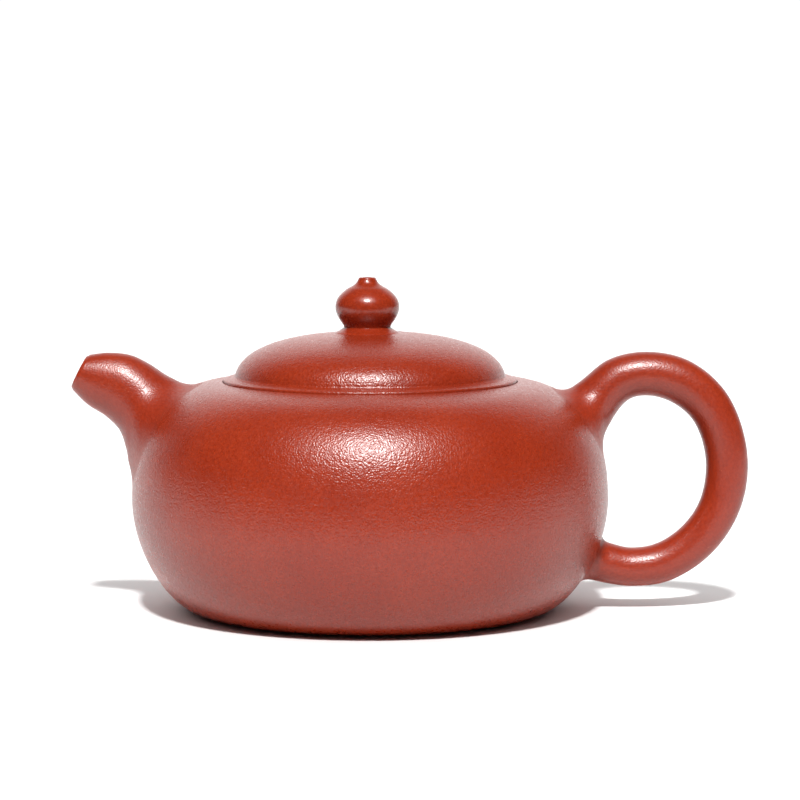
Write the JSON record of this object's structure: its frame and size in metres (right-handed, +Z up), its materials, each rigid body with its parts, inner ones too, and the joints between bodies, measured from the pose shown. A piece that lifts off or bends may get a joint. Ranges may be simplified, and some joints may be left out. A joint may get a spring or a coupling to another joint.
{
  "type": "teapot",
  "caption": "Squat round unglazed stoneware teapot with a short spout, a loop handle and an inset domed lid with a pearl knob.",
  "frame": {"origin": "on the table, under the middle of the length from the spout's lip to the handle's outside", "axes": "+Z up, +X from the spout to the handle, +Y to the pot's left seen from the spout"},
  "size_m": [0.1463, 0.1028, 0.0718],
  "materials": {
    "pot_clay": "satin",
    "inner_clay": "satin",
    "burnished_clay": "satin",
    "lid_clay": "satin"
  },
  "bodies": {
    "pot": {"base_disc": "pot_clay", "body_wall": "pot_clay", "shoulder_disc": "pot_clay", "mouth_ring": "inner_clay", "strainer": "inner_clay", "spout": "burnished_clay", "handle": "burnished_clay"},
    "lid": {"lid_brim": "lid_clay", "lid_collar": "inner_clay", "lid_dome": "lid_clay", "knob_seat": "burnished_clay", "knob": "burnished_clay"}
  },
  "joints": [
    {"name": "lid_lift", "type": "slide", "parent": "pot", "child": "lid", "axis": [0, 0, 1], "range_m": [0, 0.04]}
  ]
}
